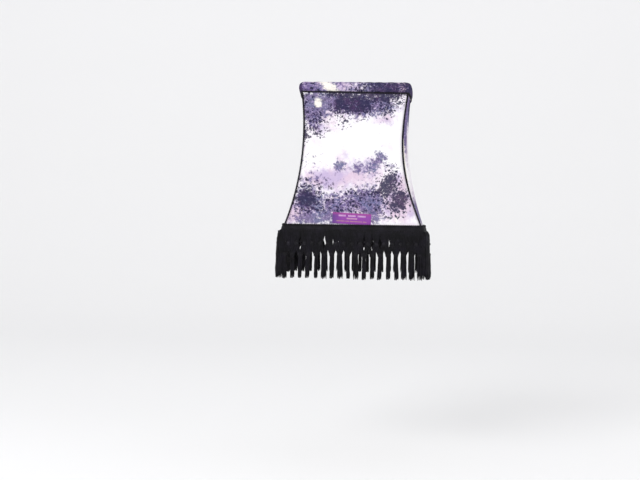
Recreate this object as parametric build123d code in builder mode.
"""Square bell lamp shade on a taped wire frame, with a collar, a tassel fringe and a reversible gimbal.

Millimetres, +Z up, -Y front, +X right. The origin is the centre of the lampholder bore.
"""

from build123d import *
from math import asin, cos, degrees, radians, sin, sqrt
import os

os.makedirs("parts", exist_ok=True)

# Heights above the lampholder bore
collar_top = 123.0
collar_edge = 108.8
cover_top = 108.3
piping_height = 107.4
neck_ring_height = 106.6
waist_height = 60.0
pivot_height = 45.0
header_top = -75.0
bottom_ring_height = -83.0
header_bottom = -85.0
tassel_gap_top = -121.0
fringe_bottom = -151.0

# The bell: in plan a square, whose corners follow a circular arc from the skirt to the collar
waist_half_width = 70.0
corner_bend_radius = 300.0
side_bend_radius = corner_bend_radius / sqrt(2)

# Wire, tape and cloth
wire_radius = 1.5
tape_radius = 2.0
cloth = 0.8
wire_set_back = 3.0
lining_set_back = 7.2
seam_gap = 0.1
weld_overlap = 0.2
weld_spacing = 2 * wire_radius - weld_overlap

# Collar: one strip of cloth folded over the top ring
collar_fold_radius = 3.2
top_ring_half_width = 74.0
top_ring_corner = 9.2
top_ring_height = collar_top - collar_fold_radius - cloth / 2

# Trims
piping_radius = 1.1
braid_thickness = 0.9
braid_half_width = 1.8
header_thickness = 2.2
label_width = 53.0
label_height = 15.0
label_thickness = 0.6
label_tilt = 2.5

# Fringe: a knotted net with a row of tassels under it, on each side
tassels_per_side = 18
tassel_pitch = 11.2
tassel_width = 5.4
fringe_thickness = 3.8
fringe_flare = 2.8
fringe_clearance = 0.3

# Gimbal and lampholder rings
arm_radius = 2.0
pivot_clearance = 0.08
pivot_plate_reach = 79.0
pivot_plate_thickness = 2.0
pivot_plate_radius = 5.0
pin_head_radius = 3.2
pin_head_thickness = 1.5
arm_shoulder_reach = 66.0
arm_foot_reach = 40.0
arm_bend_radius = 9.0
fitter_hole_radius = 21.0
fitter_outer_radius = 27.0
fitter_thickness = 2.0
lampholder_bore_radius = 14.5
reducer_flange_radius = 25.0
reducer_flange_thickness = 1.6
reducer_clearance = 0.1

up = Vector(0, 0, 1)
sides = {
    "front": Vector(0, -1, 0),
    "right": Vector(1, 0, 0),
    "back": Vector(0, 1, 0),
    "left": Vector(-1, 0, 0),
}
corners = {
    "front_left": Vector(-1, -1, 0).normalized(),
    "front_right": Vector(1, -1, 0).normalized(),
    "back_right": Vector(1, 1, 0).normalized(),
    "back_left": Vector(-1, 1, 0).normalized(),
}
pivot_corners = ("front_left", "back_right")

strut_axis_reach = sqrt(2) * waist_half_width + corner_bend_radius
strut_bend_radius = corner_bend_radius + sqrt(2) * wire_set_back


def wall_half_width(height, set_back=0.0):
    """Half the width of the bell at a height, measured to a surface set back inside the cloth."""
    rise = (height - waist_height) / (corner_bend_radius + set_back)
    return waist_half_width + side_bend_radius - (side_bend_radius + set_back) * sqrt(1 - rise**2)


def strut_lean(height):
    """How far a strut leans from upright at a height, in degrees."""
    return degrees(asin((height - waist_height) / strut_bend_radius))


def strut_reach(height):
    """Distance of a strut's centre line from the middle of the shade."""
    return strut_axis_reach - strut_bend_radius * cos(radians(strut_lean(height)))


def ring_corner_radius(half_width, height):
    """Bend that brings a ring's corner just behind the strut it is welded to."""
    corner_reach = strut_reach(height) - weld_spacing / cos(radians(strut_lean(height)))
    return (sqrt(2) * half_width - corner_reach) / (sqrt(2) - 1)


def upright_plane(outward):
    """Plane through the middle of the shade: its x runs outward and its y runs up."""
    return Plane(origin=(0, 0, 0), x_dir=outward, z_dir=outward.cross(up))


def across_plane(outward, height, reach):
    """Plane square to an outward line: its z runs outward."""
    origin = outward * reach + up * height
    return Plane(origin=origin, x_dir=up.cross(outward), z_dir=outward)


def loop_path(half_width, corner_radius, height):
    """Rounded square round the shade, from the middle of the front towards the left."""
    straight = half_width - corner_radius
    with BuildLine(Plane.XY.offset(height)) as loop:
        run = Line((0, -half_width), (-straight, -half_width))
        for corner in range(4):
            bend = JernArc(run @ 1, run % 1, corner_radius, -90)
            length = straight if corner == 3 else 2 * straight
            run = Line(bend @ 1, bend @ 1 + (bend % 1) * length)
    return loop


def loop_section_plane():
    """Plane for the section of a band that runs round the shade: x outward from the middle, y up."""
    return upright_plane(sides["front"])


def save(piece, name):
    """Label a finished piece and write it to its own file."""
    piece.part.label = name
    export_step(piece.part, f"parts/{name}.step")


def wall_curve(set_back, low, high):
    """Side profile of the bell between two heights, to a surface set back inside the cloth."""
    height_radius = corner_bend_radius + set_back
    start = degrees(asin((low - waist_height) / height_radius))
    end = degrees(asin((high - waist_height) / height_radius))
    return EllipticalCenterArc(
        (waist_half_width + side_bend_radius, waist_height),
        side_bend_radius + set_back,
        height_radius,
        start_angle=180 - start,
        arc_size=start - end,
    )


def wall_section(outward, outer, inner, low, high):
    """Thin section of the bell's wall, between two set-backs and two heights."""
    with BuildSketch(upright_plane(outward)) as section:
        with BuildLine():
            outside = wall_curve(outer, low, high)
            inside = wall_curve(inner, low, high)
            Line(outside @ 0, inside @ 0)
            Line(outside @ 1, inside @ 1)
        make_face()
    return section


def wall_panel(outward, outer, inner, low, high, gap):
    """One curved side of the bell, mitred where it meets its neighbours."""
    across = up.cross(outward)
    length = wall_half_width(low) + 10
    section = wall_section(outward, outer, inner, low, high)
    with BuildPart() as panel:
        extrude(section.sketch, amount=length, both=True)
        for direction in (across, -across):
            normal = (outward + direction).normalized()
            split(bisect_by=Plane(origin=normal * gap, z_dir=normal))
    return panel


def wire_ring(half_width, corner_radius, height):
    """Square ring of round wire with bent corners."""
    with BuildPart() as ring:
        path = loop_path(half_width, corner_radius, height)
        with BuildSketch(loop_section_plane()):
            with Locations((half_width, height)):
                Circle(wire_radius)
        sweep(path=path.line)
    return ring


def ring_tape(half_width, corner_radius, height):
    """Four runs of tape wound on a ring, one between each pair of struts."""
    run = half_width - corner_radius - 3 * wire_radius
    with BuildPart() as tape:
        for outward in sides.values():
            with BuildSketch(upright_plane(outward)):
                with Locations((half_width, height)):
                    Circle(tape_radius)
                    Circle(wire_radius, mode=Mode.SUBTRACT)
            extrude(amount=run, both=True)
    return tape


def strut_run(outward, low, high, outer_radius, inner_radius=0.0):
    """Bent rod or tube along a corner strut's centre line between two heights."""
    with BuildPart() as run:
        with BuildLine(upright_plane(outward)):
            arc = CenterArc(
                (strut_axis_reach, waist_height),
                strut_bend_radius,
                start_angle=180 - strut_lean(low),
                arc_size=strut_lean(low) - strut_lean(high),
            )
        with BuildSketch(Plane(origin=arc @ 0, z_dir=arc % 0)):
            Circle(outer_radius)
            if inner_radius > 0:
                Circle(inner_radius, mode=Mode.SUBTRACT)
        sweep()
    return run


# Wire rings, welded behind the corner struts
neck_half_width = wall_half_width(neck_ring_height, wire_set_back)
neck_corner = ring_corner_radius(neck_half_width, neck_ring_height)
skirt_half_width = wall_half_width(bottom_ring_height, wire_set_back)
skirt_corner = ring_corner_radius(skirt_half_width, bottom_ring_height)
rings = {
    "top_ring": (top_ring_half_width, top_ring_corner, top_ring_height),
    "neck_ring": (neck_half_width, neck_corner, neck_ring_height),
    "bottom_ring": (skirt_half_width, skirt_corner, bottom_ring_height),
}
for name, shape in rings.items():
    save(wire_ring(*shape), name)
    save(ring_tape(*shape), f"{name}_tape")

# Corner struts, from the skirt up to the underside of the top ring, each wound with tape
strut_foot = bottom_ring_height - wire_radius
strut_head = top_ring_height - wire_radius + weld_overlap
tape_margin = 3 * tape_radius
stem_height = pivot_height + pivot_plate_radius + wire_radius - 1.1
stem_end = strut_reach(stem_height) - wire_radius + weld_overlap
for name, outward in corners.items():
    strut = strut_run(outward, strut_foot, strut_head, wire_radius)
    save(strut, f"strut_{name}")
    tape_low = bottom_ring_height + tape_margin
    tape_high = neck_ring_height - tape_margin
    with BuildPart() as strut_tape:
        add(strut_run(outward, tape_low, tape_high, tape_radius, wire_radius).part)
        if name in pivot_corners:
            with BuildSketch(across_plane(outward, stem_height, pivot_plate_reach)):
                Circle(wire_radius + seam_gap)
            extrude(amount=stem_end - pivot_plate_reach, mode=Mode.SUBTRACT)
    save(strut_tape, f"strut_tape_{name}")

# Pivot eyes: a stem welded to the strut, with a drilled plate that the gimbal's pin turns in
for name in pivot_corners:
    outward = corners[name]
    with BuildPart() as pivot_eye:
        with BuildSketch(across_plane(outward, pivot_height, pivot_plate_reach)):
            Circle(pivot_plate_radius)
        extrude(amount=pivot_plate_thickness)
        with BuildSketch(across_plane(outward, stem_height, pivot_plate_reach)):
            Circle(wire_radius)
        extrude(amount=stem_end - pivot_plate_reach)
        with BuildSketch(across_plane(outward, pivot_height, pivot_plate_reach)):
            Circle(arm_radius + pivot_clearance)
        extrude(amount=pivot_plate_thickness, mode=Mode.SUBTRACT)
    save(pivot_eye, f"pivot_eye_{name}")

# Cover panels outside the frame
cover_bottom = bottom_ring_height - tape_radius
for name, outward in sides.items():
    save(wall_panel(outward, 0, cloth, cover_bottom, cover_top, seam_gap), f"cover_{name}")

# Lining panels inside the frame, with a slit in two corners where the pivot stems pass
lining_top = neck_ring_height + tape_radius
for name, outward in sides.items():
    with BuildPart() as lining:
        inner = lining_set_back + cloth
        add(wall_panel(outward, lining_set_back, inner, cover_bottom, lining_top, seam_gap).part)
        for corner in pivot_corners:
            with BuildSketch(across_plane(corners[corner], stem_height, pivot_plate_reach)):
                Circle(wire_radius + 4 * seam_gap)
            extrude(amount=stem_end - pivot_plate_reach, mode=Mode.SUBTRACT)
    save(lining, f"lining_{name}")


def corner_strip(outward, outer, inner, low, high, half_width):
    """Strip folded round one corner of the bell, between two set-backs and two heights."""
    across = up.cross(outward)
    with BuildPart() as strip:
        for direction in (across, -across):
            side = (outward + direction).normalized()
            add(wall_panel(side, outer, inner, low, high, 0).part)
        with BuildSketch(upright_plane(outward)):
            with Locations((wall_half_width(low) * sqrt(2) / 2, (low + high) / 2)):
                Rectangle(wall_half_width(low) * sqrt(2) + 20, high - low + 20)
        extrude(amount=half_width, both=True, mode=Mode.INTERSECT)
        with BuildSketch(across_plane(outward, 0, 0)):
            Rectangle(4 * half_width, 3 * collar_top)
        extrude(amount=2 * wall_half_width(low), mode=Mode.INTERSECT)
    return strip


# Patches of lining cloth that neaten the two slits
patch_outer = lining_set_back + cloth + seam_gap
patch_reach = 11.0
for name in pivot_corners:
    with BuildPart() as patch:
        low = stem_height - patch_reach
        high = stem_height + patch_reach
        add(corner_strip(corners[name], patch_outer, patch_outer + cloth / 2, low, high, 7.0).part)
        with BuildSketch(across_plane(corners[name], stem_height, pivot_plate_reach)):
            Circle(wire_radius + 2 * seam_gap)
        extrude(amount=stem_end - pivot_plate_reach, mode=Mode.SUBTRACT)
    save(patch, f"lining_patch_{name}")

# Corner braids over the cover's seams
braid_top = piping_height - piping_radius - seam_gap
braid_bottom = header_top + seam_gap
for name, outward in corners.items():
    braid_outer = -seam_gap - braid_thickness
    braid = corner_strip(outward, braid_outer, -seam_gap, braid_bottom, braid_top, braid_half_width)
    save(braid, f"corner_braid_{name}")

# Collar: up from the piping, over the top ring and down to the lining
collar_lean = 1.5
collar_inner_edge = wall_half_width(lining_top, lining_set_back + cloth / 2)
with BuildPart() as collar_band:
    collar_path = loop_path(top_ring_half_width, top_ring_corner, top_ring_height)
    fold_outer = top_ring_half_width + collar_fold_radius
    fold_inner = top_ring_half_width - collar_fold_radius
    with BuildSketch(loop_section_plane()):
        with BuildLine():
            outer_leg = Polyline(
                (fold_outer - collar_lean, collar_edge + cloth / 2),
                (fold_outer, collar_edge + 4 * collar_lean),
                (fold_outer, top_ring_height),
            )
            fold_top = (top_ring_half_width, top_ring_height + collar_fold_radius)
            fold = ThreePointArc(outer_leg @ 1, fold_top, (fold_inner, top_ring_height))
            Line(fold @ 1, (collar_inner_edge, lining_top + cloth / 2 + seam_gap))
            offset(amount=cloth / 2)
        make_face()
    sweep(path=collar_path.line)
save(collar_band, "collar_band")

# Piping under the collar
piping_half_width = wall_half_width(piping_height) + piping_radius + seam_gap
piping_corner = piping_radius + 2 * seam_gap
with BuildPart() as neck_piping:
    piping_path = loop_path(piping_half_width, piping_corner, piping_height)
    with BuildSketch(loop_section_plane()):
        with Locations((piping_half_width, piping_height)):
            Circle(piping_radius)
    sweep(path=piping_path.line)
save(neck_piping, "neck_piping")

# Fringe header: a band of braid round the skirt's lower edge
header_outer = -2 * seam_gap - header_thickness
with BuildPart() as fringe_header:
    for outward in sides.values():
        add(wall_panel(outward, header_outer, -2 * seam_gap, header_bottom, header_top, 0).part)
save(fringe_header, "fringe_header")

# Fringe: on each side a net with a comb of tassels, hanging a little outwards
fringe_top = header_bottom - fringe_clearance
fringe_inner = wall_half_width(header_bottom, header_outer) - fringe_thickness
fringe_half_length = fringe_inner - fringe_clearance
for name, outward in sides.items():
    with BuildPart() as fringe:
        with BuildSketch(upright_plane(outward)):
            Polygon(
                (fringe_inner, fringe_top),
                (fringe_inner + fringe_thickness, fringe_top),
                (fringe_inner + fringe_thickness + fringe_flare, fringe_bottom),
                (fringe_inner + fringe_flare, fringe_bottom),
                align=None,
            )
        extrude(amount=fringe_half_length, both=True)
        gap_height = tassel_gap_top - fringe_bottom
        with BuildSketch(across_plane(outward, tassel_gap_top - gap_height / 2, 0)):
            with GridLocations(tassel_pitch, gap_height, tassels_per_side + 1, 1):
                Rectangle(tassel_pitch - tassel_width, gap_height + seam_gap)
        extrude(amount=2 * fringe_inner, mode=Mode.SUBTRACT)
    save(fringe, f"fringe_{name}")

# Label: a small woven tag on the front, tucked against the header and sewn on a little crooked
label_outer = -seam_gap - label_thickness
label_top = header_top + label_height
label_strip = wall_section(sides["front"], label_outer, -seam_gap, header_top + seam_gap, label_top + 5)
with BuildPart() as label:
    extrude(label_strip.sketch, amount=label_width, both=True)
    with BuildSketch(across_plane(sides["front"], header_top + label_height / 2, 0)):
        Rectangle(label_width, label_height, rotation=-label_tilt)
    extrude(amount=2 * skirt_half_width, mode=Mode.INTERSECT)
save(label, "label")

# Gimbal arms: a pin with a peened head in the pivot eye, then down and in to the fitter ring
for name in pivot_corners:
    outward = corners[name]
    head_start = pivot_plate_reach + pivot_plate_thickness + 3 * seam_gap
    with BuildPart() as gimbal_arm:
        with BuildLine(upright_plane(outward)):
            route = FilletPolyline(
                (head_start, pivot_height),
                (arm_shoulder_reach, pivot_height),
                (arm_foot_reach, 0),
                (fitter_outer_radius - weld_overlap, 0),
                radius=arm_bend_radius,
            )
        with BuildSketch(Plane(origin=route @ 0, z_dir=route % 0)):
            Circle(arm_radius)
        sweep()
        with BuildSketch(across_plane(outward, pivot_height, head_start)):
            Circle(pin_head_radius)
        extrude(amount=pin_head_thickness)
    save(gimbal_arm, f"gimbal_arm_{name}")

# Fitter ring that the gimbal carries
with BuildPart() as fitter_ring:
    with BuildSketch(Plane.XY.offset(-fitter_thickness / 2)):
        Circle(fitter_outer_radius)
        Circle(fitter_hole_radius, mode=Mode.SUBTRACT)
    extrude(amount=fitter_thickness)
save(fitter_ring, "fitter_ring")

# Reducer ring that drops into the fitter ring
flange_seat = fitter_thickness / 2 + reducer_clearance
with BuildPart() as reducer_ring:
    with BuildSketch(Plane.XY.offset(-fitter_thickness / 2)):
        Circle(fitter_hole_radius - reducer_clearance)
    extrude(amount=fitter_thickness + reducer_clearance)
    with BuildSketch(Plane.XY.offset(flange_seat)):
        Circle(reducer_flange_radius)
    extrude(amount=reducer_flange_thickness)
    flange_rim = edges().filter_by(GeomType.CIRCLE).group_by(Axis.Z)[-1]
    fillet(flange_rim, radius=0.6)
    Hole(lampholder_bore_radius)
save(reducer_ring, "reducer_ring")
